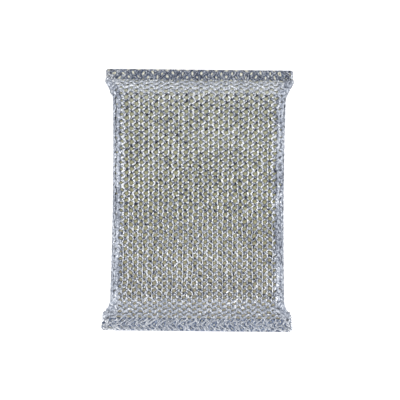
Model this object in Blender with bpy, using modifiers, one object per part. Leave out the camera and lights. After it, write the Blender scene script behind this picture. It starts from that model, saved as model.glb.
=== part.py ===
"""A foam scouring pad inside a knitted net sleeve, sealed by a fused strip at each end.

Metres, +Z up. X runs across the pad and Y along it, with the near end at -Y. The pad
lies flat, and the origin is under the middle of it, on the surface that it rests on.
"""

import math

import bmesh
import bpy
import numpy as np
from mathutils import Matrix, Vector

# Whole pad
PAD_LENGTH = 0.1265
PAD_HEIGHT = 0.0160
BODY_WIDTH = 0.0820
CORNER_RADIUS = 0.0045
TOP_CROWN = 0.0010
REST_CROWN = 0.0003
SIDE_WAIST = 0.0006
REST_CUT_DEPTH = 0.0005

# Sealed ends
FAR_SEAL_WIDTH = 0.0890
FAR_SEAL_DEPTH = 0.0051
FAR_SLOPE_RUN = 0.0086
FAR_SEAL_CORNER = 0.0008
NEAR_SEAL_WIDTH = 0.0910
NEAR_SEAL_DEPTH = 0.0062
NEAR_SLOPE_RUN = 0.0097
NEAR_SEAL_CORNER = 0.0022
SEAL_THICKNESS = 0.0014
SEAL_EDGE_RADIUS = 0.0003
SEAL_HOLE_WIDTH = 0.0011
SEAL_HOLE_LENGTH = 0.0017
SEAL_HOLE_PITCH = 0.00476
SEAL_HOLE_ROW_PITCH = 0.0019
SEAL_HOLE_MARGIN = 0.0022
SEAL_HOLE_SIDES = 8

# Net sleeve: flat strands round staggered six-sided gaps
STRAND_WIDTH = 0.0032
STRAND_THICKNESS = 0.0014
MOUTH_HALF_HEIGHT = 0.0012
MOUTH_EDGE_REACH = 0.0005
MOUTH_STRAND_CUTS = 1
GAP_COLUMNS = 20
GAP_HALF_ROWS = 22
GAP_POINT_SHARE = 0.17

# Foam core
FOAM_CLEARANCE = 0.00065
FOAM_CORNER_RADIUS = 0.0052
FOAM_NOSE_HALF_HEIGHT = 0.0012
FOAM_NOSE_DRAW_IN = 0.0030
FOAM_STEPS_ALONG = 22
FOAM_SIDE_STEPS = 1
FOAM_CORNER_STEPS = 3
FOAM_FACE_STEPS = 8

# Gap between pieces that touch on the real pad, and the overrun of the cutters
PIECE_GAP = 0.0003
OVERRUN = 0.0020

# Shape of the slope at each end, and the steps that its length is measured in
SHOULDER_POWER = 1.8
WIDEN_POWER = 1.3
PROFILE_STEPS = 400

SLEEVE_HALF = STRAND_THICKNESS / 2
BODY_HALF_HEIGHT = (PAD_HEIGHT + REST_CUT_DEPTH - TOP_CROWN - REST_CROWN) / 2 - SLEEVE_HALF
MID_HEIGHT = BODY_HALF_HEIGHT + SLEEVE_HALF + REST_CROWN - REST_CUT_DEPTH


class End:
    """The sizes of one sealed end, with the side of the pad that it is on."""

    def __init__(self, name, side, width, depth, run, corner):
        self.name = name
        self.side = side
        self.width = width
        self.depth = depth
        self.run = run
        self.corner = corner
        self.seal_edge = PAD_LENGTH / 2 - depth
        self.slope_start = self.seal_edge - run
        self.mouth = self.seal_edge - PIECE_GAP - MOUTH_EDGE_REACH


FAR = End("far_end_seal", 1, FAR_SEAL_WIDTH, FAR_SEAL_DEPTH, FAR_SLOPE_RUN, FAR_SEAL_CORNER)
NEAR = End(
    "near_end_seal", -1, NEAR_SEAL_WIDTH, NEAR_SEAL_DEPTH, NEAR_SLOPE_RUN, NEAR_SEAL_CORNER
)


def clear_scene():
    for item in list(bpy.data.objects):
        bpy.data.objects.remove(item, do_unlink=True)


def new_collection(name):
    group = bpy.data.collections.new(name)
    bpy.context.scene.collection.children.link(group)
    return group


def new_material(name, colour, roughness, metallic):
    """A Principled surface with its colour as linear red, green and blue."""
    finish = bpy.data.materials.new(name)
    finish.use_nodes = True
    shader = finish.node_tree.nodes["Principled BSDF"]
    shader.inputs["Base Color"].default_value = (*colour, 1)
    shader.inputs["Roughness"].default_value = roughness
    shader.inputs["Metallic"].default_value = metallic
    finish.diffuse_color = (*colour, 1)
    return finish


def object_from(work, name, group, finish=None):
    """Turn a bmesh into a named object in a collection."""
    mesh = bpy.data.meshes.new(name)
    work.normal_update()
    bmesh.ops.recalc_face_normals(work, faces=work.faces)
    work.to_mesh(mesh)
    work.free()
    item = bpy.data.objects.new(name, mesh)
    group.objects.link(item)
    if finish:
        mesh.materials.append(finish)
    return item


def as_cutter(item):
    item.hide_render = True
    item.display_type = "WIRE"
    return item


def cut(item, cutter):
    tool = item.modifiers.new("cut", "BOOLEAN")
    tool.operation = "DIFFERENCE"
    tool.object = cutter


def end_at(y):
    return FAR if y > 0 else NEAR


def slope_share(y):
    """0 over the faces, rising to 1 where the sleeve meets the sealed strip."""
    end = end_at(y)
    return min(max((abs(y) - end.slope_start) / (end.mouth - end.slope_start), 0), 1)


def along_share(y):
    """0 at mid-length, 1 where the slope starts."""
    return min(abs(y) / end_at(y).slope_start, 1)


def body_half_width(y):
    """Half the width of the sleeve's middle surface, waisted at mid-length."""
    return BODY_WIDTH / 2 - SLEEVE_HALF - SIDE_WAIST * (1 - along_share(y) ** 2)


def half_width(y):
    """The same, flared over the slopes to the width of the sealed strip."""
    body = body_half_width(y)
    seal = end_at(y).width / 2 - SLEEVE_HALF
    return body + (seal - body) * slope_share(y) ** WIDEN_POWER


def half_height(y):
    """Half the height of the sleeve's middle surface, before the crown of the faces."""
    drop = (BODY_HALF_HEIGHT - MOUTH_HALF_HEIGHT) * slope_share(y) ** SHOULDER_POWER
    return BODY_HALF_HEIGHT - drop


def crowned(x, y, z, high):
    """A height over the middle, swollen most in the middle of the top or the underside."""
    swell = TOP_CROWN if z > 0 else REST_CROWN
    across = 1 - min(abs(x) / half_width(y), 1) ** 2
    return z + swell * across * (1 - along_share(y) ** 2) * z / high


class Section:
    """A rounded rectangle across the pad, crowned on its two faces."""

    def __init__(self, y, wide, high, corner):
        self.y = y
        self.wide = wide
        self.high = high
        self.radius = min(corner, high)
        self.side = self.high - self.radius
        self.arc = math.pi / 2 * self.radius
        self.face = 2 * (self.wide - self.radius)
        self.half_girth = 2 * self.side + 2 * self.arc + self.face

    def upper_point(self, way):
        """X and height over the middle at a way from the right side fold, over the top."""
        mirrored = way > self.half_girth / 2
        way = self.half_girth - way if mirrored else way
        if way < self.side:
            x, z = self.wide, way
        elif way < self.side + self.arc:
            angle = (way - self.side) / self.radius
            x = self.wide - self.radius + self.radius * math.cos(angle)
            z = self.side + self.radius * math.sin(angle)
        else:
            x, z = self.wide - self.radius - (way - self.side - self.arc), self.high
        return (-x if mirrored else x), z

    def point(self, way):
        """The point at a way round the section, which starts at the right side fold."""
        x, z = self.upper_point(way % self.half_girth)
        if way % (2 * self.half_girth) >= self.half_girth:
            x, z = -x, -z
        return Vector((x, self.y, MID_HEIGHT + crowned(x, self.y, z, self.high)))

    def uneven_ways(self):
        """Ways round the whole section, closer together at the corners."""
        counts = [FOAM_SIDE_STEPS, FOAM_CORNER_STEPS, FOAM_FACE_STEPS]
        counts += [FOAM_CORNER_STEPS, FOAM_SIDE_STEPS]
        ends = np.cumsum([0, self.side, self.arc, self.face, self.arc, self.side])
        steps = np.arange(sum(counts))
        half = np.interp(steps, np.cumsum([0] + counts), ends)
        return np.concatenate([half, half + self.half_girth])


def sleeve_section(y):
    return Section(y, half_width(y), half_height(y), CORNER_RADIUS)


def foam_section(y):
    """The foam fills the body but not the flare, and draws in towards its two noses."""
    inset = SLEEVE_HALF + FOAM_CLEARANCE
    draw_in = FOAM_NOSE_DRAW_IN * slope_share(y) ** 2
    wide = body_half_width(y) - inset - draw_in
    high = half_height(y + math.copysign(FOAM_CLEARANCE, y)) - inset
    return Section(y, wide, high, FOAM_CORNER_RADIUS)


def sleeve_point(turn, y):
    """A point of the sleeve's middle surface, where turn goes evenly from 0 to 1."""
    section = sleeve_section(y)
    return section.point(2 * turn * section.half_girth)


def sleeve_normal(turn, y):
    """The way out of the sleeve's middle surface at a point."""
    turn_step = PIECE_GAP / BODY_WIDTH
    across = sleeve_point(turn + turn_step, y) - sleeve_point(turn - turn_step, y)
    along = sleeve_point(turn, y + PIECE_GAP) - sleeve_point(turn, y - PIECE_GAP)
    return along.cross(across).normalized()


def sleeve_profile():
    """Places along Y from mouth to mouth, with the curved way up to each of them."""
    places = np.linspace(-NEAR.mouth, FAR.mouth, PROFILE_STEPS)
    heights = np.array([half_height(y) for y in places])
    steps = np.hypot(np.diff(places), np.diff(heights))
    return places, np.concatenate([[0], np.cumsum(steps)])


def net_tube(radius, length):
    """A round tube of staggered six-sided cells, folded from a flat grid."""
    work = bmesh.new()
    bmesh.ops.create_grid(
        work,
        x_segments=GAP_COLUMNS,
        y_segments=GAP_HALF_ROWS,
        size=1,
        matrix=Matrix.Translation((GAP_COLUMNS / 2, GAP_HALF_ROWS / 2, 0))
        @ Matrix.Diagonal((GAP_COLUMNS / 2, GAP_HALF_ROWS / 2, 1, 1)),
    )
    spare = []
    for edge in work.edges:
        first, second = (vertex.co for vertex in edge.verts)
        column, row = round(min(first.x, second.x)), round(first.y)
        level = row == round(second.y)
        if level and 0 < row < GAP_HALF_ROWS and (column + row) % 2:
            spare.append(edge)
    bmesh.ops.dissolve_edges(work, edges=spare, use_verts=False)
    for vertex in work.verts:
        column, row = round(vertex.co.x), round(vertex.co.y)
        lean = -GAP_POINT_SHARE if (column + row) % 2 else GAP_POINT_SHARE
        angle = 2 * math.pi * (column + lean + 1 / 2) / GAP_COLUMNS
        way = length * row / GAP_HALF_ROWS
        vertex.co = (radius * math.cos(angle), way, radius * math.sin(angle))
    bmesh.ops.remove_doubles(work, verts=work.verts, dist=PIECE_GAP / 10)
    rims = [edge for edge in work.edges if edge.is_boundary]
    bmesh.ops.subdivide_edges(work, edges=rims, cuts=MOUTH_STRAND_CUTS)
    for vertex in work.verts:
        spread = radius / math.hypot(vertex.co.x, vertex.co.z)
        vertex.co = (vertex.co.x * spread, vertex.co.y, vertex.co.z * spread)
    return work


def applied_mesh(item):
    """The mesh of an object with its modifiers applied; the object is removed."""
    graph = bpy.context.evaluated_depsgraph_get()
    mesh = bpy.data.meshes.new_from_object(item.evaluated_get(graph))
    bpy.data.objects.remove(item, do_unlink=True)
    return mesh


def mesh_sleeve(group, cutters):
    """The net: strands are made on a round tube, which is then drawn over the pad."""
    places, ways = sleeve_profile()
    radius = sleeve_section(0).half_girth / math.pi
    tube = object_from(net_tube(radius, ways[-1]), "net_tube", group)
    strands = tube.modifiers.new("strands", "WIREFRAME")
    strands.thickness = STRAND_WIDTH
    strands.use_boundary = True
    strands.use_even_offset = False
    work = bmesh.new()
    work.from_mesh(applied_mesh(tube))
    for vertex in work.verts:
        x, way, z = vertex.co
        turn = math.atan2(z, x) / (2 * math.pi)
        past_end = min(way, 0) + max(way - ways[-1], 0)
        edge_reach = past_end * MOUTH_EDGE_REACH / (STRAND_WIDTH / 2)
        y = np.interp(way, ways, places) + edge_reach
        rise = (math.hypot(x, z) - radius) * STRAND_THICKNESS / STRAND_WIDTH
        vertex.co = sleeve_point(turn, y) + sleeve_normal(turn, y) * rise
    finish = new_material("silver_yarn", (0.52, 0.54, 0.58), 0.35, 0.6)
    sleeve = object_from(work, "mesh_sleeve", group, finish)
    below = bmesh.new()
    bmesh.ops.create_cube(
        below,
        size=1,
        matrix=Matrix.Translation((0, 0, -PAD_HEIGHT / 2))
        @ Matrix.Diagonal((NEAR_SEAL_WIDTH + OVERRUN, PAD_LENGTH + OVERRUN, PAD_HEIGHT, 1)),
    )
    cut(sleeve, as_cutter(object_from(below, "rest_plane_cutter", cutters)))


def foam_end(end, inset):
    """Where the foam ends: its sloped nose is as thin there as it gets."""
    nose = FOAM_NOSE_HALF_HEIGHT + inset
    drop = (BODY_HALF_HEIGHT - nose) / (BODY_HALF_HEIGHT - MOUTH_HALF_HEIGHT)
    run = end.mouth - end.slope_start
    return end.slope_start - FOAM_CLEARANCE + run * drop ** (1 / SHOULDER_POWER)


def foam_core(group):
    """A foam block with a crown, rounded edges and ends squeezed to a blunt nose."""
    inset = SLEEVE_HALF + FOAM_CLEARANCE
    low, high = -foam_end(NEAR, inset), foam_end(FAR, inset)
    around = 2 * (2 * FOAM_SIDE_STEPS + 2 * FOAM_CORNER_STEPS + FOAM_FACE_STEPS)
    work = bmesh.new()
    rings = []
    for step in range(FOAM_STEPS_ALONG + 1):
        y = foam_place(low, high, step / FOAM_STEPS_ALONG)
        section = foam_section(y)
        rings.append([work.verts.new(section.point(way)) for way in section.uneven_ways()])
    for one, other in zip(rings, rings[1:]):
        for place in range(around):
            following = (place + 1) % around
            work.faces.new((one[place], one[following], other[following], other[place]))
    work.faces.new(rings[0])
    work.faces.new(rings[-1])
    finish = new_material("khaki_foam", (0.37, 0.36, 0.22), 0.9, 0)
    foam = object_from(work, "foam_core", group, finish)
    foam.data.shade_smooth()


def foam_place(low, high, share):
    """A place along the foam, closer together towards its two ends."""
    return low + (high - low) * (1 - math.cos(math.pi * share)) / 2


def seal_holes(end, cutters):
    """Two staggered rows of oval holes, joined in one cutter."""
    work = bmesh.new()
    room = end.width / 2 - SEAL_HOLE_MARGIN
    middle = end.side * (end.seal_edge + end.depth / 2)
    for row in range(2):
        offset = row * SEAL_HOLE_PITCH / 2
        first = math.ceil((-room - offset) / SEAL_HOLE_PITCH)
        last = math.floor((room - offset) / SEAL_HOLE_PITCH)
        for number in range(first, last + 1):
            place = (
                number * SEAL_HOLE_PITCH + offset,
                middle + (row - 1 / 2) * SEAL_HOLE_ROW_PITCH,
                MID_HEIGHT,
            )
            bmesh.ops.create_cone(
                work,
                cap_ends=True,
                segments=SEAL_HOLE_SIDES,
                radius1=SEAL_HOLE_WIDTH / 2,
                radius2=SEAL_HOLE_WIDTH / 2,
                depth=SEAL_THICKNESS + OVERRUN,
                matrix=Matrix.Translation(place)
                @ Matrix.Diagonal((1, SEAL_HOLE_LENGTH / SEAL_HOLE_WIDTH, 1, 1)),
            )
    return as_cutter(object_from(work, end.name + "_hole_cutter", cutters))


def end_seal(end, group, cutters, finish):
    """The flat strip in which both layers of the sleeve are melted together."""
    work = bmesh.new()
    middle = end.side * (end.seal_edge + end.depth / 2)
    bmesh.ops.create_cube(
        work,
        size=1,
        matrix=Matrix.Translation((0, middle, MID_HEIGHT))
        @ Matrix.Diagonal((end.width, end.depth, SEAL_THICKNESS, 1)),
    )
    upright = [e for e in work.edges if abs(e.verts[0].co.z - e.verts[1].co.z) > PIECE_GAP]
    bmesh.ops.bevel(
        work, geom=upright, offset=end.corner, segments=3, profile=0.5, affect="EDGES"
    )
    item = object_from(work, end.name, group, finish)
    edge = item.modifiers.new("edge", "BEVEL")
    edge.width = SEAL_EDGE_RADIUS
    edge.segments = 1
    edge.limit_method = "ANGLE"
    cut(item, seal_holes(end, cutters))
    return item


def main():
    clear_scene()
    pad = new_collection("scouring_pad")
    cutters = new_collection("cutters")
    foam_core(pad)
    mesh_sleeve(pad, cutters)
    fused = new_material("fused_yarn", (0.25, 0.27, 0.32), 0.4, 0.4)
    for end in (FAR, NEAR):
        end_seal(end, pad, cutters, fused)


main()
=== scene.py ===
import math

import bpy
import numpy as np
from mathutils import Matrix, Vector


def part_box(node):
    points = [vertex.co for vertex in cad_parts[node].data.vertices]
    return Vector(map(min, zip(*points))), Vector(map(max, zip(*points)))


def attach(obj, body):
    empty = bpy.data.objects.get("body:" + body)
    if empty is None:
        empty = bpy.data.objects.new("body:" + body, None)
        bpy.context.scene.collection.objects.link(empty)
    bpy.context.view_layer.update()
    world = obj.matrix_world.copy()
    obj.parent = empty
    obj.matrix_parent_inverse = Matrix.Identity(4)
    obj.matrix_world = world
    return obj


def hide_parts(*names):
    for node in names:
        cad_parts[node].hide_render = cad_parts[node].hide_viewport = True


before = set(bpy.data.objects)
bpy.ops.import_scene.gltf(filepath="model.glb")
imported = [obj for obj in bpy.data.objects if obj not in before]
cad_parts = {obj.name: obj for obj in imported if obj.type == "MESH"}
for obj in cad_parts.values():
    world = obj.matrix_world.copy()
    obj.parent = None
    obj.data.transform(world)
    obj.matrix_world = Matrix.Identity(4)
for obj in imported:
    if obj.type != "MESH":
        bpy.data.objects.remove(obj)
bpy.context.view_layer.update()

# Metres, +Z up. X runs across the pad and Y along it, with the near end at -Y. A turn goes once
# round the sleeve, a way runs along its profile from the near tip, a wale is one column of loops
# and a level counts courses along the pad.

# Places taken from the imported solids
FAR_LOW, FAR_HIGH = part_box("far_end_seal")
NEAR_LOW, NEAR_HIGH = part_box("near_end_seal")
MID_HEIGHT = (FAR_LOW.z + FAR_HIGH.z) / 2

# Sleeve, as in the solids
BODY_WIDTH = 0.0820
BODY_HALF_HEIGHT = 0.0069
CORNER_RADIUS = 0.0045
TOP_CROWN = 0.0010
REST_CROWN = 0.0003
SIDE_WAIST = 0.0006
MOUTH_HALF_HEIGHT = 0.0012
MOUTH_SETBACK = 0.0008
SHOULDER_POWER = 1.8
SLEEVE_HALF = 0.0007

# Sealed ends, pressed thinner than in the solids
SEAL_SIDE = 0.0001
SEAL_HALF_HEIGHT = 0.00042
SEAL_STEP = 0.0003
PRESS_LEAD = 0.0015
PRESS_RUN = 0.0020

# Steps that the sleeve's profile and its normals are measured in
PROFILE_STEPS = 4000
TURN_STEP = 0.0005
PLACE_STEP = 0.00005

# Knit: its counts, the levels at the edges of the two seals, the length of a course in them,
# how far down a loop its middle lies, where a gap lies in a loop and the tube's flat girth
WALES = 38
COURSES = 36
BANDS = 6
STEPS_PER_POINT = 2
NEAR_LEVEL = -0.37
FAR_LEVEL = 35.88
SEAL_COURSE = 0.0036
SEAL_COURSES = 3
LOOP_MIDDLE = 1.27
GAP_PLACE = (0.24, 0.49)
MILLIMETRES = 1000

# One loop of yarn: its place in wales and in courses down from the head's side, its height
# over the sleeve's middle surface and half the film's width in millimetres, and the painted
# tone of the film's two edges, from painted shade and dark reflection to painted highlight
NEAR_LOOP = np.array(
    [
        (-0.05, 0.74, -0.10, 0.42, 0.5, 0.3),
        (0.00, 0.90, 0.05, 0.30, 0.0, 0.0),
        (0.01, 1.10, 0.22, 0.26, 0.2, 0.1),
        (0.00, 1.30, 0.34, 0.25, 0.3, 0.2),
        (-0.01, 1.50, 0.30, 0.25, 0.2, 0.1),
        (-0.01, 1.70, 0.18, 0.27, 0.3, 0.2),
        (-0.01, 1.88, 0.00, 0.34, 0.1, 0.0),
        (0.03, 2.03, -0.16, 0.48, 0.2, -0.5),
        (0.10, 2.08, -0.24, 0.62, 0.7, -1.4),
        (0.20, 2.00, -0.28, 0.72, 1.3, -1.6),
        (0.30, 1.88, -0.28, 0.70, 1.4, 0.0),
        (0.38, 1.78, -0.22, 0.60, 0.9, 0.0),
        (0.46, 1.68, -0.05, 0.48, 0.7, 0.4),
        (0.53, 1.48, 0.22, 0.34, -0.2, -0.2),
        (0.48, 1.22, 0.34, 0.42, 0.8, 0.6),
        (0.46, 1.00, 0.18, 0.30, -0.4, -0.4),
        (0.49, 0.82, 0.05, 0.34, 0.0, 0.0),
        (0.51, 0.62, -0.08, 0.44, 0.7, 0.5),
        (0.59, 0.44, -0.20, 0.58, 1.1, 0.6),
        (0.71, 0.38, -0.28, 0.72, 1.1, 0.0),
        (0.83, 0.50, -0.24, 0.66, 0.9, -1.8),
    ]
)
FAR_LOOP = np.array(
    [
        (-0.03, 0.69, -0.02, 0.36, 1.9, 1.6),
        (0.07, 0.85, 0.10, 0.36, -0.2, -0.1),
        (0.05, 1.08, 0.28, 0.34, 0.2, 0.2),
        (-0.06, 1.22, 0.36, 0.36, 1.9, 1.9),
        (-0.20, 1.34, 0.28, 0.34, 1.8, 1.8),
        (-0.12, 1.49, 0.10, 0.50, -0.4, -0.4),
        (-0.05, 1.69, -0.10, 0.42, -0.2, -0.2),
        (-0.02, 1.93, -0.20, 0.46, -0.1, -0.1),
        (0.04, 2.15, -0.28, 0.48, -1.2, 0.2),
        (0.15, 2.04, -0.33, 0.56, -1.4, 0.3),
        (0.27, 1.91, -0.33, 0.54, -1.4, 0.3),
        (0.37, 1.79, -0.25, 0.50, -1.0, 0.2),
        (0.45, 1.71, -0.05, 0.42, 1.2, 1.2),
        (0.55, 1.49, 0.22, 0.42, -0.8, 0.0),
        (0.48, 1.24, 0.34, 0.40, 1.3, 1.3),
        (0.47, 1.02, 0.10, 0.22, -0.9, -0.9),
        (0.44, 0.79, 0.06, 0.36, 1.0, 1.0),
        (0.51, 0.56, -0.08, 0.38, -0.6, -0.4),
        (0.55, 0.36, -0.24, 0.44, -0.8, -0.2),
        (0.67, 0.43, -0.33, 0.50, -1.6, -0.2),
        (0.80, 0.58, -0.28, 0.50, -1.6, -0.3),
    ]
)
ONE_WALE = np.array([1, 0, 0, 0, 0, 0])

# Where the near loop gives way to the far one along the pad
FAR_START = -0.032
FAR_RUN = 0.054

# Zones at the side folds: how far in from the side each one starts, and its run
BESIDE = (0.0050, 0.0034)
FOLDED = (0.0042, 0.0018)
RAISED = (0.0080, 0.0066)
SEAL_BESIDE_LOST = 0.4

# How far the knit is out of its even net, in wales and courses: slow and quick waves, a shift of
# the lower layer, a bend in the near seal, and a tangle at the sides and on the slopes
SLOW_ASIDE = 0.04
QUICK_ASIDE = 0.04
SLOW_UP = 0.05
QUICK_UP = 0.05
BACK_SHIFT = 0.52
BACK_WALES = 3
SEAL_BEND = 0.6
SEAL_BEND_LEVEL = -1.25
SEAL_BEND_REACH = 0.9
SIDE_JUMBLE = 0.14
SIDE_JUMBLE_REACH = 2.4
SIDE_JUMBLE_RUN = 1.4
SLOPE_JUMBLE = 0.10
JUMBLE_UP = 1.3

# The film of the yarn: eight facets round it, at shares of its half width and on its two faces
ACROSS = np.array([-1, -0.55, 0, 0.55, 1, 0.55, 0, -0.55])
FACE = np.array([0, 1, 1, 1, 0, -1, -1, -1])
FACETS = len(ACROSS)
FILM_HALF_THICKNESS = 0.00005
FILM_SPREAD = 1.14
SIDE_WIDER = 0.90
SIDE_SPREAD = 0.00022
SEAL_NARROWER = 0.20
TWIST = 0.28
ARC_HALF_WIDTH = 0.36
ARC_RUN = 0.16
LEG_CAMBER = 0.5
NEAR_CAMBER = 0.42
FAR_CAMBER = 0.14
SIDE_RISE = 0.0006
LOWEST = 0.00003

# Which strands count as cross runs, by how level they lie
CROSS_RATE, CROSS_START = 1.6, 0.5

# Shares of relief, twist and camber that are lost in the seals, at the sides and on the slopes
SEAL_SUNK, SIDE_SUNK = 0.6, 0.4
SEAL_UNTWIST, SIDE_UNTWIST, SLOPE_UNTWIST = 0.75, 0.6, 0.6
SEAL_FLATTER, SIDE_FLATTER, SLOPE_FLATTER = 0.75, 0.6, 0.8

# Tones of painted light on the film: -1 paints it black, as shade and dark reflection, and 1
# paints it white, as a highlight
EDGE_BLEND_START, EDGE_BLEND_RUN = -0.7, 1.2
# Painted shade along the edges of the thin legs and down the middle of the wide arcs
EDGE_SHADE = 0.6
GROOVE_SHADE = 0.6
SIDE_SHADE_LOST = 0.6
# Painted shade darker than this is lifted on the slopes and beside the folds
DARKEST = 0.1
SLOPE_LIFTED = 0.95
SIDE_LIFTED = 0.9
PATTERN_TONE = 0.69
FAR_CALM = 0.25
BETWEEN_LIVELY = 1.1
SEAL_CALM = 0.7
SIDE_CALM = 0.9
# Painted highlight strokes along the level runs on the slopes, with painted shade on their other
# edge and on the legs
STROKE_TONE = 0.75
STROKE_EDGES = (1.5, 0.5, -0.2, -0.4, -0.3)
LEG_PAINTED_SHADE = 0.15
# A lift for all tones, then painted light by zone: lighter on the near face and beside the folds,
# with painted shade over the folds
BASE_LIFT = 0.33
NEAR_LIFT = 0.12
SIDE_LIFT = 0.08
FOLD_PAINTED_SHADE = 0.29
SLOW_BLOTCH = 0.18
QUICK_BLOTCH = 0.10
BLOT_TONE = 0.9
NEAR_BLOT = 0.7
SEAL_BLOT_LOST = 0.4
# Tones above BRIGHT, the painted highlights, are pulled down on the near face, beside the folds
# and on the slopes
BRIGHT = 0.45
FACE_DIMMED, SIDE_DIMMED, SLOPE_DIMMED = 0.6, 0.6, 0.85
FINE_TONE = 0.6
CREASED_GRAIN_LOST = 0.4
SEAL_CORNER_GRAIN = 0.8

# Creased film in the folds and on the slopes is rougher, and its streaks of painted glints and
# dark reflections are calmer
FILM_ROUGH = 0.28
CREASE_ROUGH = 0.34
STREAK_GLINT_TONE = 3.0
CREASE_CALM = 0.6
STREAKS_ALONG = 1400.0
STREAKS_ACROSS = 1.6
STREAK_PHASE = 0.37

# Foam, with painted light running once along its length: darker and browner towards the near end,
# lighter towards the far end
FOAM_AROUND = 380
FOAM_ALONG = 258
FOAM_SETBACK = 0.0002
FOAM_INSET = 0.0008
FOAM_BULGE = 0.0008
FOAM_RISE = 0.8
THIN_INSET = 0.45
FOAM_LIGHT_RATE = 8.5

# Melted web of the sealed ends
PLATE_HALF = 0.00032
PLATE_EDGE_HALF = 0.00012
HOLE_SEGMENTS = (8, 3)
HOLE_LEVEL = 0.28
HOLE_RIM = 3.5
HOLE_TALLNESS = 3.0
RIM_MARGIN = 1.12
RIM_REACH = 1.05
OUTERMOST_ROW = 37
OUTERMOST_HOLE = 0.6
SMALLEST_FACE = 1e-11

# Stage and camera
FLOOR_SIZE = 6.0
FLOOR_GLOW = 0.68
PIXEL = 0.0004765
PHOTO_PIXELS = 400
CAMERA_DISTANCE = 3.0
CAMERA_ELEVATION = math.radians(80)
CAMERA_AZIMUTH = math.radians(0.61)
AIM = Vector((0.00083, 0.0, 0.0074))

SEED = 11


class End:
    """One sealed end: its side of the pad, its sizes along Y and what its yarn looks like."""

    def __init__(self, side, low, high, run, **look):
        self.side = side
        self.half_width = (high.x - low.x) / 2
        self.tip = max(abs(low.y), abs(high.y))
        self.edge = min(abs(low.y), abs(high.y))
        self.slope_start = self.edge - run
        self.mouth = self.edge - MOUTH_SETBACK
        for name, value in look.items():
            setattr(self, name, value)


# The ends' lifts paint light: painted shadow on the far seal, painted light on the near seal, on
# the far shoulder and a little on the near slope; the web's level is painted shadow at the far end
# and painted light at the near end
FAR = End(
    side=1,
    low=FAR_LOW,
    high=FAR_HIGH,
    run=0.0086,
    corner=0.0008,
    widen=1.1,
    flare=1.0,
    steep_rate=3.5,
    slope_sunk=1.6,
    slope_wider=0.80,
    slope_calm=0.85,
    slope_strokes=1.0,
    slope_face_painted_light=0.38,
    slope_painted_light=0,
    slope_bright=0,
    slope_crease=0.4,
    seal_painted_light=-0.45,
    seal_grain_lost=0,
    seal_rows=(35, 39),
    hole=(0.030, 0.058),
    hole_rim=1.0,
    web_painted_light=0.9,
)
NEAR = End(
    side=-1,
    low=NEAR_LOW,
    high=NEAR_HIGH,
    run=0.0097,
    corner=0.0022,
    widen=2.1,
    flare=0.78,
    steep_rate=2.2,
    slope_sunk=1.4,
    slope_wider=0.25,
    slope_calm=0.75,
    slope_strokes=0.85,
    slope_face_painted_light=0.0,
    slope_painted_light=0.03,
    slope_bright=0.25,
    slope_crease=0.7,
    seal_painted_light=0.25,
    seal_grain_lost=0.45,
    seal_rows=(-3, 1),
    hole=(0.016, 0.030),
    hole_rim=0.75,
    web_painted_light=1.25,
)


def smooth(x):
    """Eases from 0 to 1 as x does."""
    x = np.clip(x, 0, 1)
    return x * x * (3 - 2 * x)


def per_end(y, name):
    """The far or near end's value of a name, by the side that each place is on."""
    return np.where(y > 0, getattr(FAR, name), getattr(NEAR, name))


def slope_share(y):
    """0 over the faces, rising to 1 where the sleeve meets the sealed end."""
    start, mouth = per_end(y, "slope_start"), per_end(y, "mouth")
    return np.clip((np.abs(y) - start) / (mouth - start), 0, 1)


def along_share(y):
    """0 at mid-length, 1 where the slope starts."""
    return np.minimum(np.abs(y) / per_end(y, "slope_start"), 1)


def body_half_width(y):
    """Half the sleeve's width without its flares, waisted at mid-length."""
    return BODY_WIDTH / 2 - SLEEVE_HALF - SIDE_WAIST * (1 - along_share(y) ** 2)


def half_width(y):
    """Half the sleeve's width, flared over the slope and, at the near end, on to the tip."""
    body = body_half_width(y)
    seal = per_end(y, "half_width") - SEAL_SIDE
    flare, mouth, corner = per_end(y, "flare"), per_end(y, "mouth"), per_end(y, "corner")
    full = per_end(y, "tip") - corner
    opened = flare * slope_share(y) ** per_end(y, "widen")
    opened = opened + (1 - flare) * np.clip((np.abs(y) - mouth) / (full - mouth), 0, 1)
    wide = body + (seal - body) * opened
    into = np.clip(np.abs(y) - full, 0, corner)
    return wide - corner + np.sqrt(corner ** 2 - into ** 2)


def half_height(y):
    """Half the sleeve's height, down over the slope to the mouth and pressed flat in the seal."""
    drop = (BODY_HALF_HEIGHT - MOUTH_HALF_HEIGHT) * slope_share(y) ** SHOULDER_POWER
    mouth, edge = per_end(y, "mouth"), per_end(y, "edge")
    squeezed = smooth((np.abs(y) - mouth) / (edge + SEAL_STEP - mouth))
    return BODY_HALF_HEIGHT - drop - (MOUTH_HALF_HEIGHT - SEAL_HALF_HEIGHT) * squeezed


def section_point(turn, y):
    """A point of the sleeve's middle surface, a turn starting at the right side fold."""
    turn, y = np.broadcast_arrays(turn, y)
    wide, high = half_width(y), half_height(y)
    radius = np.minimum(CORNER_RADIUS, high)
    side = high - radius
    arc = math.pi / 2 * radius
    half_girth = 2 * side + 2 * arc + 2 * (wide - radius)
    whole = turn % 1
    way = (whole % 0.5) * 2 * half_girth
    mirrored = way > half_girth / 2
    way = np.where(mirrored, half_girth - way, way)
    angle = np.clip((way - side) / radius, 0, math.pi / 2)
    x = wide - radius + radius * np.cos(angle) - np.maximum(way - side - arc, 0)
    z = np.minimum(way, side) + radius * np.sin(angle)
    x = np.where(mirrored, -x, x)
    under = whole >= 0.5
    x, z = np.where(under, -x, x), np.where(under, -z, z)
    swell = np.where(z > 0, TOP_CROWN, REST_CROWN)
    across = 1 - np.minimum(np.abs(x) / half_width(y), 1) ** 2
    z = z + swell * across * (1 - along_share(y) ** 2) * z / high
    return np.stack([x, y, MID_HEIGHT + z], axis=-1)


def unit(vectors):
    return vectors / np.linalg.norm(vectors, axis=-1, keepdims=True)


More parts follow.
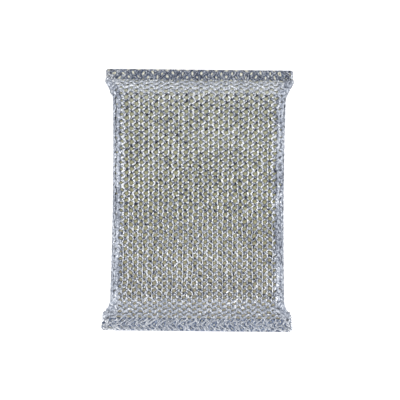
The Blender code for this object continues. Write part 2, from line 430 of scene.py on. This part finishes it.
def section_normal(turn, y):
    """The way out from the middle surface."""
    across = section_point(turn + TURN_STEP, y) - section_point(turn - TURN_STEP, y)
    along = section_point(turn, y + PLACE_STEP) - section_point(turn, y - PLACE_STEP)
    return unit(np.cross(along, across))


# Ways along the profile, and the levels that the courses have there
PLACES = np.linspace(-NEAR.tip, FAR.tip, PROFILE_STEPS)
PLACE_WAYS = np.hypot(np.diff(PLACES), np.diff(half_height(PLACES)))
PLACE_WAYS = np.concatenate([[0], np.cumsum(PLACE_WAYS)])
TIP_WAY = PLACE_WAYS[-1]
NEAR_WAY, NEAR_FACE, FAR_FACE, FAR_WAY = np.interp(
    (-NEAR.edge, -NEAR.slope_start, FAR.slope_start, FAR.edge), PLACES, PLACE_WAYS
)
COURSE = (FAR_WAY - NEAR_WAY) / COURSES
SEAL_REACH = SEAL_COURSES * SEAL_COURSE
LEVEL_WAYS = (
    NEAR_WAY - SEAL_REACH,
    NEAR_WAY,
    NEAR_FACE,
    FAR_FACE,
    FAR_WAY,
    FAR_WAY + SEAL_REACH,
)
LEVELS = (
    NEAR_LEVEL - SEAL_COURSES,
    NEAR_LEVEL,
    (NEAR_FACE - NEAR_WAY) / COURSE,
    (FAR_FACE - NEAR_WAY) / COURSE,
    FAR_LEVEL,
    FAR_LEVEL + SEAL_COURSES,
)


def way_of(level):
    return np.interp(level, LEVELS, LEVEL_WAYS)


def level_of(way):
    return np.interp(way, LEVEL_WAYS, LEVELS)


def place_of(way):
    return np.interp(way, PLACE_WAYS, PLACES)


def eased_table(table, across, along):
    """Smooth values between the entries of a table that repeats across."""
    left, low = np.floor(across).astype(int), np.floor(along).astype(int)
    f, g = smooth(across - left), smooth(along - low)
    rows, columns = table.shape

    def pick(i, j):
        return table[np.clip(j, 0, rows - 1), i % columns]

    near = pick(left, low) * (1 - f) + pick(left + 1, low) * f
    far = pick(left, low + 1) * (1 - f) + pick(left + 1, low + 1) * f
    return near * (1 - g) + far * g


# Random values per wale and level: the slow ones span two wales each
TABLE_LEVELS = 100
TABLE_START = 4
TABLES = np.random.default_rng(SEED).uniform(-1, 1, (8, TABLE_LEVELS, WALES))
SLOW, SLOW_RISE, SLOW_SPOTS = TABLES[[0, 1, 4], :, : WALES // 2]
QUICK, QUICK_RISE, QUICK_SPOTS, TANGLE, TANGLE_RISE = TABLES[[2, 3, 5, 6, 7]]


def drift(wale, level):
    """How far the knit is out of its even net at a place, in wales and in courses."""
    slow_place = wale / 2, level / 2 + TABLE_START
    quick_place = wale, level + TABLE_START
    tangle_place = 2 * wale, 2 * level + 2 * TABLE_START
    round_back = smooth((wale % WALES) / BACK_WALES)
    round_back = round_back - smooth((wale % WALES - WALES / 2 + BACK_WALES) / BACK_WALES)
    bent = np.clip(1 - np.abs(level - SEAL_BEND_LEVEL) / SEAL_BEND_REACH, 0, 1)
    off_side = np.abs((wale + WALES / 4) % (WALES / 2) - WALES / 4)
    jumble = SIDE_JUMBLE * smooth((SIDE_JUMBLE_REACH - off_side) / SIDE_JUMBLE_RUN)
    jumble = jumble + SLOPE_JUMBLE * slope_share(place_of(way_of(level)))
    aside = SLOW_ASIDE * eased_table(SLOW, *slow_place)
    aside = aside + QUICK_ASIDE * eased_table(QUICK, *quick_place)
    aside = aside + BACK_SHIFT * round_back - SEAL_BEND * bent
    aside = aside + jumble * eased_table(TANGLE, *tangle_place)
    up = SLOW_UP * eased_table(SLOW_RISE, *slow_place)
    up = up + QUICK_UP * eased_table(QUICK_RISE, *quick_place)
    return aside, up + JUMBLE_UP * (jumble * eased_table(TANGLE_RISE, *tangle_place))


def blotch(wale, level):
    """Slow differences of tone over the knit."""
    slow = eased_table(SLOW_SPOTS, wale / 2, level / 3 + TABLE_START)
    quick = eased_table(QUICK_SPOTS, wale, level / 4 + TABLE_START)
    return SLOW_BLOTCH * slow + QUICK_BLOTCH * quick


def loop_values(loop, count):
    """The loop's values at even steps through its points, joined smoothly."""
    points = np.concatenate([loop[-1:] - ONE_WALE, loop, loop[:2] + ONE_WALE])
    step = np.arange(count) * len(loop) / count
    first = np.floor(step).astype(int)
    f = (step - first)[:, None]
    a, b, c, d = (points[first + k] for k in range(4))
    return b + f * (c - a + f * (2 * a - 5 * b + 4 * c - d + f * (3 * (b - c) + d - a))) / 2


def farness(y):
    """0 over the near part of the face, 1 over its far part."""
    return smooth((y - FAR_START) / FAR_RUN)


def side_share(x, y, start, run):
    """0 over the face, 1 where the sleeve folds down at its sides."""
    return smooth((np.abs(x) - half_width(y) + start) / run)


class Zones:
    """Shares from 0 to 1 of where points of the sleeve lie.

    Flat is in a sealed end and open is outside it. Beside is near a side fold, folded is on it
    and raised is where the yarn stands out there. Steep is well down a slope.
    """

    def __init__(self, x, y):
        self.y = y
        self.flat = smooth((np.abs(y) - per_end(y, "edge") + PRESS_LEAD) / PRESS_RUN)
        self.open = 1 - self.flat
        self.beside = side_share(x, y, *BESIDE) * (1 - SEAL_BESIDE_LOST * self.flat)
        self.folded = side_share(x, y, *FOLDED) * self.open
        self.raised = side_share(x, y, *RAISED) * self.open
        self.slope = slope_share(y) * self.open
        self.steep = smooth(self.end("steep_rate") * self.slope)

    def end(self, name):
        return per_end(self.y, name)


def arc_share(loop):
    """0 on the thin legs of a loop, 1 on its wide arcs."""
    return smooth((loop[:, 3:4] - ARC_HALF_WIDTH) / ARC_RUN)


def strand_edges(loop, far, zone):
    """The half width of a strand and how far its film bows, at its places along and across."""
    arc = arc_share(loop)
    wider = 1 - SEAL_NARROWER * zone.flat + SIDE_WIDER * zone.beside
    wider = FILM_SPREAD * (wider + zone.end("slope_wider") * zone.slope)
    half = (loop[:, 3] / MILLIMETRES * wider + SIDE_SPREAD * (zone.beside * zone.open))[:, None]
    arc_camber = FAR_CAMBER * far + NEAR_CAMBER * (1 - far)
    flatter = np.maximum(SEAL_FLATTER * zone.flat, SIDE_FLATTER * zone.folded)
    flatter = np.maximum(flatter, SLOPE_FLATTER * zone.steep)[:, None]
    camber = (LEG_CAMBER * (1 - arc) + arc_camber * arc) * (1 - flatter)
    return half, camber * half * (1 - ACROSS ** 2) + FILM_HALF_THICKNESS * FACE


def strand_tone(loop, far, zone, level_run, spots, blots):
    """The tone of painted light on the film at each place along and across a strand, before its
    fine grain: painted highlights, painted shade and dark reflections.
    """
    arc = arc_share(loop)
    flat, beside, steep = zone.flat, zone.beside, zone.steep
    share = smooth((ACROSS - EDGE_BLEND_START) / EDGE_BLEND_RUN)
    tone = loop[:, 4:5] * (1 - share) + loop[:, 5:6] * share
    # Painted shade along the edges of the legs and down the middle of the arcs, lifted where
    # darkest on the slopes and beside the folds
    shaded = (1 - SIDE_SHADE_LOST * beside)[:, None]
    tone = tone - (1 - arc) * EDGE_SHADE * ACROSS ** 2 * shaded
    tone = tone - arc * GROOVE_SHADE * (1 - ACROSS ** 2) * shaded
    lifted = SLOPE_LIFTED * np.maximum(steep, SIDE_LIFTED * beside)
    tone = tone + np.maximum(DARKEST - tone, 0) * lifted[:, None]

    # Painted highlight strokes along the level runs of the slopes, painted shade on the legs
    strokes = np.interp(ACROSS, [-1, -0.55, 0, 0.55, 1], STROKE_EDGES)
    strokes = STROKE_TONE * level_run[:, None] * strokes - LEG_PAINTED_SHADE * (1 - level_run[:, None])
    tone = tone + strokes * (steep * (1 - beside) * zone.end("slope_strokes"))[:, None]

    calmer = np.maximum(SEAL_CALM * flat, SIDE_CALM * beside)
    calmer = np.maximum(calmer, zone.end("slope_calm") * steep)
    calm = PATTERN_TONE * (1 - FAR_CALM * far + BETWEEN_LIVELY * far * (1 - far)) * (1 - calmer)
    # Painted light by zone: lighter on the near face, beside the folds, on the far shoulder and on
    # the near seal, with painted shade over the folds and on the far seal
    lift = BASE_LIFT + NEAR_LIFT * (1 - far) + spots + SIDE_LIFT * beside - FOLD_PAINTED_SHADE * zone.folded
    lift = lift + zone.end("slope_face_painted_light") * steep * (1 - beside)
    lift = lift + zone.end("seal_painted_light") * flat + zone.end("slope_painted_light") * steep
    tone = (tone + (blots * (1 - SEAL_BLOT_LOST * flat))[:, None]) * calm[:, None] + lift[:, None]

    # Bright tones, the painted highlights, are pulled down on the near face, beside the folds and
    # on the slopes
    dimmed = np.maximum(SIDE_DIMMED * beside, SLOPE_DIMMED * steep)
    dimmed = np.maximum(FACE_DIMMED * (1 - far ** 2), dimmed)[:, None]
    glare = tone - BRIGHT + (zone.end("slope_bright") * steep)[:, None]
    return tone - dimmed * np.maximum(glare, 0)


def ring_quads(rings, around, closed):
    """Quads of a tube made of rings of points, numbered from 0."""
    last = rings if closed else rings - 1
    ring, spot = np.meshgrid(np.arange(last), np.arange(around), indexing="ij")
    after, beside = (ring + 1) % rings, (spot + 1) % around
    corners = [ring * around + spot, after * around + spot]
    corners += [after * around + beside, ring * around + beside]
    return np.stack(corners, axis=-1).reshape(-1, 4)


def ring_cap(around):
    """Quads that close the first ring of a tube; turned over, they close the last one."""
    spot = np.arange(around // 2 - 1)
    return np.stack([spot, spot + 1, around - spot - 2, around - spot - 1], axis=-1)


def fine_grain(zone, random):
    """Fine noise of tone over the facets."""
    grain = 1 - CREASED_GRAIN_LOST * np.maximum(zone.beside, zone.steep) * zone.open
    grain = grain + SEAL_CORNER_GRAIN * zone.beside * zone.flat
    grain = grain - zone.end("seal_grain_lost") * zone.flat
    return random.normal(0, FINE_TONE, (len(grain), FACETS)) * grain[:, None]


def strand_quads(kept):
    """Quads of a strand round the sleeve, closed by caps where part of it isn't kept."""
    before, after = np.roll(kept, 1), np.roll(kept, -1)
    starts = np.flatnonzero(kept & ~before & after) * FACETS
    stops = np.flatnonzero(kept & before & ~after) * FACETS
    quads = ring_quads(len(kept), FACETS, True)
    quads = quads[np.repeat(kept, FACETS)[quads].all(axis=1)]
    cap = ring_cap(FACETS)
    first_caps = (cap + starts[:, None, None]).reshape(-1, 4)
    last_caps = (cap[:, ::-1] + stops[:, None, None]).reshape(-1, 4)
    return np.concatenate([quads, first_caps, last_caps])


def yarn_row(course, random, phase=0.0):
    """One course of loops round the sleeve: its points, quads and strand values.

    The phase is where along the streaks of the film the course starts.
    """
    per_loop = len(NEAR_LOOP) * STEPS_PER_POINT
    count = WALES * per_loop
    far = farness(place_of(way_of(course + 0.5)))
    loop = far * loop_values(FAR_LOOP, per_loop) + (1 - far) * loop_values(NEAR_LOOP, per_loop)
    loop = np.tile(loop, (WALES, 1))
    wale = loop[:, 0] + np.repeat(np.arange(WALES), per_loop)
    level = course + 0.5 + LOOP_MIDDLE - loop[:, 1]
    aside, up = drift(wale % WALES, level)
    turn = -(wale + aside) / WALES
    way = way_of(level + up)
    y = place_of(way)
    out, middle = section_normal(turn, y), section_point(turn, y)
    zone = Zones(middle[:, 0], y)

    relief = (1 - SEAL_SUNK * zone.flat) * (1 - SIDE_SUNK * zone.beside)
    relief = relief * (1 - zone.end("slope_sunk") * zone.steep)
    rise = loop[:, 2] / MILLIMETRES * relief + SIDE_RISE * zone.raised
    centre = middle + out * rise[:, None]
    tangent = unit(np.roll(centre, -1, axis=0) - np.roll(centre, 1, axis=0))
    broad = unit(np.cross(out, tangent))
    thin = np.cross(tangent, broad)
    twist = random.normal(0, TWIST, count) * (1 - SEAL_UNTWIST * zone.flat)
    twist = twist * (1 - SIDE_UNTWIST * zone.folded) * (1 - SLOPE_UNTWIST * zone.steep)
    cosine, sine = np.cos(twist)[:, None], np.sin(twist)[:, None]
    broad, thin = broad * cosine + thin * sine, thin * cosine - broad * sine
    half, bulge = strand_edges(loop, far, zone)
    points = centre[:, None, :] + broad[:, None, :] * (half * ACROSS)[:, :, None]
    points = points + thin[:, None, :] * bulge[:, :, None]
    points[:, :, 1] = np.clip(points[:, :, 1], -NEAR.tip, FAR.tip)
    points[:, :, 2] = np.maximum(points[:, :, 2], LOWEST)

    steps = np.linalg.norm(np.roll(centre, -1, axis=0) - centre, axis=1)
    along = np.concatenate([[0], np.cumsum(steps)[:-1]]) + phase
    blots = random.normal(0, BLOT_TONE, count) * (NEAR_BLOT + (1 - NEAR_BLOT) * far)
    level_run = smooth(CROSS_RATE * np.abs(tangent[:, 0]) - CROSS_START)
    tone = strand_tone(loop, far, zone, level_run, blotch(wale % WALES, level), blots)
    tone = tone + fine_grain(zone, random)
    crease = np.maximum(zone.folded, zone.end("slope_crease") * zone.steep)
    values = np.broadcast_arrays(along[:, None], ACROSS[None, :], tone, crease[:, None])
    values = np.stack(values, axis=-1).reshape(points[..., 0].size, -1)
    return points.reshape(-1, 3), strand_quads((way > 0) & (way < TIP_WAY)), values


def new_mesh(name, points, quads):
    mesh = bpy.data.meshes.new(name)
    mesh.vertices.add(len(points))
    mesh.vertices.foreach_set("co", np.ascontiguousarray(points, np.float32).ravel())
    mesh.loops.add(4 * len(quads))
    mesh.loops.foreach_set("vertex_index", np.ascontiguousarray(quads, np.int32).ravel())
    mesh.polygons.add(len(quads))
    mesh.polygons.foreach_set("loop_start", np.arange(0, 4 * len(quads), 4, dtype=np.int32))
    mesh.update(calc_edges=True)
    mesh.polygons.foreach_set("use_smooth", np.ones(len(quads), bool))
    mesh.update()
    return mesh


def put_strands(mesh, values):
    """Keeps each point's place along and across its strand, how creased it is and its tone,
    which paints light and shade on the film.
    """
    strand = mesh.attributes.new("strand", "FLOAT_VECTOR", "POINT").data
    strand.foreach_set("vector", np.ascontiguousarray(values[:, :3], np.float32).ravel())
    crease = mesh.attributes.new("crease", "FLOAT", "POINT").data
    crease.foreach_set("value", np.ascontiguousarray(values[:, 3], np.float32))


def new_piece(name, mesh, material):
    piece = bpy.data.objects.new(name, mesh)
    bpy.context.scene.collection.objects.link(piece)
    mesh.materials.append(material)
    return piece


class Nodes:
    """Adds nodes to a material or world, linking sockets by name or as _NUMBER."""

    def __init__(self, owner):
        owner.use_nodes = True
        self.tree = owner.node_tree
        self.shader = self.tree.nodes.get("Principled BSDF")

    def add(self, kind, settings=None, **inputs):
        node = self.tree.nodes.new(kind)
        for key, value in (settings or {}).items():
            setattr(node, key, value)
        for key, value in inputs.items():
            place = int(key[1:]) if key[1:].isdigit() else key
            self.put(node.inputs[place], value)
        return node

    def put(self, socket, value):
        if isinstance(value, bpy.types.NodeSocket):
            self.tree.links.new(value, socket)
        else:
            socket.default_value = value

    def math(self, operation, first, second, clamp=False):
        settings = {"operation": operation, "use_clamp": clamp}
        return self.add("ShaderNodeMath", settings, _0=first, _1=second).outputs[0]

    def ramp(self, value, stops):
        node = self.add("ShaderNodeValToRGB", None, Fac=value)
        elements = node.color_ramp.elements
        while len(elements) < len(stops):
            elements.new(0.5)
        for element, (place, colour) in zip(elements, stops):
            element.position = place
            element.color = (*colour, 1)
        return node.outputs[0]

    def split(self, vector):
        return self.add("ShaderNodeSeparateXYZ", None, Vector=vector).outputs

    def attribute(self, name, output):
        return self.add("ShaderNodeAttribute", {"attribute_name": name}).outputs[output]

    def place(self):
        return self.add("ShaderNodeTexCoord").outputs["Object"]

    def bump(self, height, strength, distance):
        bump = self.add(
            "ShaderNodeBump", None, Height=height, Strength=strength, Distance=distance
        )
        self.put(self.shader.inputs["Normal"], bump.outputs[0])


def yarn_material():
    """Film from black to white by its tone of painted light and shade, with streaks of painted
    glints along it, rougher where it creases.
    """
    finish = bpy.data.materials.new("silver_yarn")
    nodes = Nodes(finish)
    along, across, tone = nodes.split(nodes.attribute("strand", "Vector"))
    crease = nodes.attribute("crease", "Fac")
    stretched = nodes.add(
        "ShaderNodeCombineXYZ",
        None,
        X=nodes.math("MULTIPLY", along, STREAKS_ALONG),
        Y=nodes.math("MULTIPLY", across, STREAKS_ACROSS),
        Z=0.0,
    )
    streak = nodes.add(
        "ShaderNodeTexNoise", None, Vector=stretched.outputs[0], Scale=1.0, Detail=3.0
    ).outputs["Fac"]
    # Streaks of painted glints and dark reflections, calmer where the film creases; the same noise
    # is the bump
    calmed = nodes.math("MULTIPLY", crease, STREAK_GLINT_TONE * CREASE_CALM)
    streaks = nodes.math("SUBTRACT", STREAK_GLINT_TONE, calmed)
    noise = nodes.math("MULTIPLY", nodes.math("SUBTRACT", streak, 0.5), streaks)
    level = nodes.math("MULTIPLY", nodes.math("ADD", tone, noise), 0.5)
    level = nodes.math("ADD", level, 0.5, clamp=True)
    # The ramp paints the film navy black for shade and dark reflection and white for highlights
    colour = nodes.ramp(
        level,
        [
            (0.0, (0.040, 0.043, 0.070)),
            (0.25, (0.11, 0.12, 0.16)),
            (0.5, (0.245, 0.27, 0.32)),
            (0.75, (0.48, 0.51, 0.57)),
            (1.0, (0.97, 0.985, 1.0)),
        ],
    )
    nodes.put(nodes.shader.inputs["Base Color"], colour)
    nodes.shader.inputs["Metallic"].default_value = 0.65
    rough = nodes.math("ADD", nodes.math("MULTIPLY", crease, CREASE_ROUGH), FILM_ROUGH)
    nodes.put(nodes.shader.inputs["Roughness"], rough)
    nodes.bump(streak, 0.4, 0.0002)
    return finish


def foam_material():
    """Khaki foam with painted shade in its pores and painted light along its length."""
    finish = bpy.data.materials.new("khaki_foam")
    nodes = Nodes(finish)
    place = nodes.place()
    cells = nodes.add("ShaderNodeTexVoronoi", None, Vector=place, Scale=1800.0)
    cells = cells.outputs["Distance"]
    # Painted light along the foam: darker and browner towards the near end, lighter towards the
    # far end
    share = nodes.math("MULTIPLY", nodes.split(place)["Y"], FOAM_LIGHT_RATE)
    khaki_and_light = nodes.ramp(
        nodes.math("ADD", share, 0.5, clamp=True),
        [
            (0.03, (0.36, 0.335, 0.255)),
            (0.245, (0.40, 0.375, 0.24)),
            (0.50, (0.40, 0.39, 0.24)),
            (0.87, (0.44, 0.44, 0.30)),
            (1.0, (0.66, 0.66, 0.58)),
        ],
    )
    # Painted shade in the pores
    pore_shade = nodes.ramp(cells, [(0.0, (0.66, 0.64, 0.58)), (0.8, (1.05, 1.05, 1.05))])
    mix = {"data_type": "RGBA", "blend_type": "MULTIPLY"}
    colour = nodes.add("ShaderNodeMix", mix, _0=1.0, _6=khaki_and_light, _7=pore_shade)
    nodes.put(nodes.shader.inputs["Base Color"], colour.outputs[2])
    nodes.shader.inputs["Roughness"].default_value = 0.9
    nodes.bump(cells, 0.5, 0.0002)
    return finish


def web_material(shade):
    """Mottled dark melt, cream round the pinholes. The melt's tones are scaled down as painted
    shadow at the far end and up as painted light at the near end.
    """
    finish = bpy.data.materials.new("melted_web")
    nodes = Nodes(finish)
    rim_share = nodes.split(nodes.attribute("strand", "Vector"))["X"]
    mottle = nodes.add(
        "ShaderNodeTexNoise", None, Vector=nodes.place(), Scale=900.0, Detail=3.0
    ).outputs["Fac"]
    stops = [(0.35, (0.04, 0.055, 0.10)), (0.5, (0.12, 0.15, 0.22)), (0.62, (0.26, 0.30, 0.39))]
    # Painted light: the far web is darkened as painted shadow, the near one lightened
    stops = [(at, tuple(shade * part for part in tint)) for at, tint in stops]
    colour = nodes.ramp(mottle, stops)
    cream = (0.62, 0.60, 0.49, 1)
    rim = nodes.add("ShaderNodeMix", {"data_type": "RGBA"}, _0=rim_share, _6=colour, _7=cream)
    nodes.put(nodes.shader.inputs["Base Color"], rim.outputs[2])
    nodes.shader.inputs["Metallic"].default_value = 0.25
    nodes.shader.inputs["Roughness"].default_value = 0.4
    nodes.bump(mottle, 0.6, 0.0003)
    return finish


def join(parts):
    """Points, quads and strand values of several parts as one."""
    starts = np.cumsum([0] + [len(points) for points, _, _ in parts[:-1]])
    points, quads, values = zip(*parts)
    quads = [part + start for part, start in zip(quads, starts)]
    return np.concatenate(points), np.concatenate(quads), np.concatenate(values)


def make_knit():
    """The sleeve's loops, in bands of whole courses."""
    random = np.random.default_rng(SEED)
    finish = yarn_material()
    per_band = COURSES // BANDS
    for band in range(BANDS):
        courses = range(band * per_band, (band + 1) * per_band)
        rows = [yarn_row(course, random, STREAK_PHASE * course) for course in courses]
        points, quads, values = join(rows)
        mesh = new_mesh(f"knit_band_{band + 1}", points, quads)
        put_strands(mesh, values)
        piece = new_piece(f"knit_band_{band + 1}", mesh, finish)
        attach(piece, "root")
        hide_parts("mesh_sleeve")


def make_foam():
    """The foam, swollen into the gaps of the knit."""
    way = np.linspace(NEAR_WAY + FOAM_SETBACK, FAR_WAY - FOAM_SETBACK, FOAM_ALONG)[:, None]
    turn = (np.arange(FOAM_AROUND) / FOAM_AROUND)[None, :]
    y = place_of(way)
    wale, level = -turn * WALES, level_of(way)
    aside, up = drift(wale % WALES, level)
    swell = np.cos(2 * math.pi * (wale - aside - GAP_PLACE[0]))
    swell = swell * np.cos(2 * math.pi * (level - up - 0.5 - LOOP_MIDDLE + GAP_PLACE[1]))
    middle = section_point(turn, y)
    inset = np.minimum(FOAM_INSET, THIN_INSET * half_height(y))
    lift = FOAM_BULGE * (0.5 + 0.5 * swell) * inset / FOAM_INSET - inset
    raised = side_share(middle[..., 0], y, *RAISED)
    lift = lift + FOAM_RISE * SIDE_RISE * raised * inset / FOAM_INSET
    points = middle + section_normal(turn, y) * lift[..., None]
    cap = ring_cap(FOAM_AROUND)
    last = (FOAM_ALONG - 1) * FOAM_AROUND
    quads = ring_quads(FOAM_ALONG, FOAM_AROUND, False)
    quads = np.concatenate([quads, cap, cap[:, ::-1] + last])
    mesh = new_mesh("foam_block", points.reshape(-1, 3), quads)
    piece = new_piece("foam_block", mesh, foam_material())
    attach(piece, "root")
    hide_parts("foam_core")


def plate_cell(wale, level, hole):
    """Quads of one cell of the plate round one oval hole, as places in wales and levels."""
    wide, tall = HOLE_SEGMENTS
    right = np.linspace(-0.5, 0.5, wide + 1)[:-1]
    up = np.linspace(-0.25, 0.25, tall + 1)[:-1]
    border = [(x, -0.25) for x in right] + [(0.5, z) for z in up]
    border += [(-x, 0.25) for x in right] + [(-0.5, -z) for z in up]
    border = np.array(border)
    angle = np.arctan2(border[:, 1] * HOLE_TALLNESS, border[:, 0])
    hole = np.stack([np.cos(angle), np.sin(angle)], axis=-1) * hole
    rim = hole * HOLE_RIM
    rings = [border, (border + rim) / 2, rim * RIM_MARGIN, rim, hole]
    quads = [
        np.stack([outer, np.roll(outer, -1, 0), np.roll(inner, -1, 0), inner], axis=1)
        for outer, inner in zip(rings[:-1], rings[1:])
    ]
    return np.concatenate(quads) + (wale, level)


def plate_cells(end):
    """Places in wales and levels, quads, and how near each place is to a hole's rim."""
    cells = []
    for row in range(*end.seal_rows):
        outermost = OUTERMOST_HOLE if row == OUTERMOST_ROW else 1.0
        for column in range(WALES // 2 - 1, WALES + 1):
            wale, level = column + GAP_PLACE[0], row + HOLE_LEVEL
            cells.append(plate_cell(wale, level, np.multiply(end.hole, outermost)))
            cells.append(plate_cell(wale + 0.5, level + 0.5, end.hole))
    corners = np.round(np.concatenate(cells).reshape(-1, 2), 5)
    places, quads = np.unique(corners, axis=0, return_inverse=True)
    from_hole = []
    for half in (0, 0.5):
        apart = (places - (GAP_PLACE[0] + half, HOLE_LEVEL + half) + 0.5) % 1 - 0.5
        from_hole.append(np.hypot(*(apart / end.hole).T))
    rim_share = (np.minimum(*from_hole) < RIM_REACH * HOLE_RIM) * end.hole_rim
    return places, quads.reshape(-1, 4), rim_share


def laid_plate(end, places, quads):
    """The places on the plate's flat middle, and the quads that aren't squeezed to nothing."""
    first_way, last_way = (0, NEAR_WAY) if end.side < 0 else (FAR_WAY, TIP_WAY)
    inside, middle = 0.01, 0.75 * WALES
    wale = np.clip(places[:, 0], WALES / 2 + inside, WALES - inside)
    aside, up = drift(wale, places[:, 1])
    way = way_of(places[:, 1] + up)
    share = (places[:, 0] + aside - middle) / (WALES / 4)
    y = place_of(np.clip(way, first_way, last_way))
    laid = np.stack([np.clip(share, -1, 1) * half_width(y), y], axis=-1)
    outside = np.stack([share <= -1, share >= 1, way <= first_way, way >= last_way], axis=-1)
    kept = ~outside[quads].all(axis=1).any(axis=1)
    one, other = np.moveaxis(laid[quads[:, 2:]] - laid[quads[:, :2]], 1, 0)
    area = np.abs(one[:, 0] * other[:, 1] - one[:, 1] * other[:, 0]) / 2
    return laid, quads[kept & (area > SMALLEST_FACE)]


def make_plate(end):
    """The melted web of one sealed end, with a hole at each gap of the knit."""
    places, quads, rim_share = plate_cells(end)
    laid, quads = laid_plate(end, places, quads)
    used, quads = np.unique(quads, return_inverse=True)
    quads, laid, rim_share = quads.reshape(-1, 4), laid[used], rim_share[used]
    sides = np.stack([quads, np.roll(quads, -1, axis=1)], axis=-1).reshape(-1, 2)
    pairs, counts = np.unique(np.sort(sides, axis=1), axis=0, return_counts=True)
    single = {tuple(pair) for pair, number in zip(pairs, counts) if number == 1}
    rim = np.array([side for side in sides if tuple(sorted(side)) in single])
    half = np.full(len(laid), PLATE_HALF)
    half[np.unique(rim)] = PLATE_EDGE_HALF
    top = np.column_stack([laid, MID_HEIGHT + half])
    under = np.column_stack([laid, MID_HEIGHT - half])
    count = len(laid)
    walls = np.column_stack([rim[:, 1], rim[:, 0], rim[:, 0] + count, rim[:, 1] + count])
    quads = np.concatenate([quads, quads[:, ::-1] + count, walls])
    values = np.zeros((2 * count, 4))
    values[:, 0] = np.tile(rim_share, 2)
    return np.concatenate([top, under]), quads, values


def make_fused_end(end, node, name, courses, seed):
    """One sealed end: the pressed loops of both layers on the web between them."""
    random = np.random.default_rng(seed)
    web = make_plate(end)
    points, quads, values = join([web] + [yarn_row(course, random) for course in courses])
    mesh = new_mesh(name, points, quads)
    put_strands(mesh, values)
    piece = new_piece(name, mesh, web_material(end.web_painted_light))
    mesh.materials.append(yarn_material())
    finishes = (np.arange(len(quads)) >= len(web[1])).astype(np.int32)
    mesh.polygons.foreach_set("material_index", finishes)
    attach(piece, "root")
    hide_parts(node)


def make_stage():
    """A plain floor, white to the camera."""
    mesh = bpy.data.meshes.new("floor")
    size = FLOOR_SIZE
    corners = [(-size, -size, 0), (size, -size, 0), (size, size, 0), (-size, size, 0)]
    mesh.from_pydata(corners, [], [(0, 1, 2, 3)])
    finish = bpy.data.materials.new("floor")
    nodes = Nodes(finish)
    nodes.shader.inputs["Base Color"].default_value = (0.6, 0.6, 0.6, 1)
    nodes.shader.inputs["Roughness"].default_value = 0.9
    rays = nodes.add("ShaderNodeLightPath").outputs
    seen = nodes.math("MAXIMUM", rays["Is Camera Ray"], rays["Is Glossy Ray"])
    seen = nodes.math("MAXIMUM", seen, rays["Is Transmission Ray"])
    nodes.shader.inputs["Emission Color"].default_value = (1, 1, 1, 1)
    glow = nodes.math("MULTIPLY", seen, FLOOR_GLOW)
    nodes.put(nodes.shader.inputs["Emission Strength"], glow)
    floor = new_piece("floor", mesh, finish)


def area_light(name, place, width, depth, power, colour=(1.0, 1.0, 1.0)):
    """A rectangle of light aimed at the pad."""
    light = bpy.data.lights.new(name, "AREA")
    light.shape = "RECTANGLE"
    light.size, light.size_y = width, depth
    light.energy = power
    light.color = colour
    lamp = bpy.data.objects.new(name, light)
    lamp.location = place
    lamp.rotation_mode = "QUATERNION"
    aim = Vector((0, 0, 0)) - Vector(place)
    lamp.rotation_quaternion = aim.to_track_quat("-Z", "Y")
    lamp.visible_camera = False
    bpy.context.scene.collection.objects.link(lamp)


def make_lights():
    """A soft box on each side and a weak one in front, under a sky that is dark overhead."""
    area_light("left_box", (-0.80, 0.0, 0.60), 1.4, 1.7, 9.5)
    area_light("right_box", (0.80, 0.0, 0.60), 1.4, 1.7, 9.5)
    area_light("near_box", (0.0, -0.75, 0.5), 0.8, 0.8, 1.8, (1.0, 0.95, 0.88))
    world = bpy.context.scene.world or bpy.data.worlds.new("studio")
    bpy.context.scene.world = world
    nodes = Nodes(world)
    back = nodes.tree.nodes["Background"]
    way = nodes.add("ShaderNodeTexCoord").outputs["Generated"]
    colour = nodes.ramp(
        nodes.split(way)["Z"],
        [
            (0.0, (1, 1, 1)),
            (0.55, (0.75, 0.76, 0.78)),
            (0.80, (0.10, 0.11, 0.14)),
            (1.0, (0.03, 0.035, 0.05)),
        ],
    )
    nodes.put(back.inputs["Color"], colour)
    back.inputs["Strength"].default_value = 1.25


def make_camera():
    data = bpy.data.cameras.new("camera")
    data.sensor_width = 36.0
    data.lens = data.sensor_width * CAMERA_DISTANCE / (PHOTO_PIXELS * PIXEL)
    data.clip_end = 100.0
    camera = bpy.data.objects.new("camera", data)
    bpy.context.scene.collection.objects.link(camera)
    back = Vector(
        (
            math.sin(CAMERA_AZIMUTH) * math.cos(CAMERA_ELEVATION),
            -math.cos(CAMERA_AZIMUTH) * math.cos(CAMERA_ELEVATION),
            math.sin(CAMERA_ELEVATION),
        )
    )
    camera.location = AIM + back * CAMERA_DISTANCE
    camera.rotation_mode = "QUATERNION"
    camera.rotation_quaternion = (-back).to_track_quat("-Z", "Y")
    bpy.context.scene.camera = camera


make_knit()
make_foam()
make_fused_end(FAR, "far_end_seal", "far_fused_end", (36, 37), SEED + 1)
make_fused_end(NEAR, "near_end_seal", "near_fused_end", (-3, -2, -1), SEED + 2)
make_stage()
make_lights()
make_camera()
bpy.context.scene.view_settings.view_transform = "Standard"
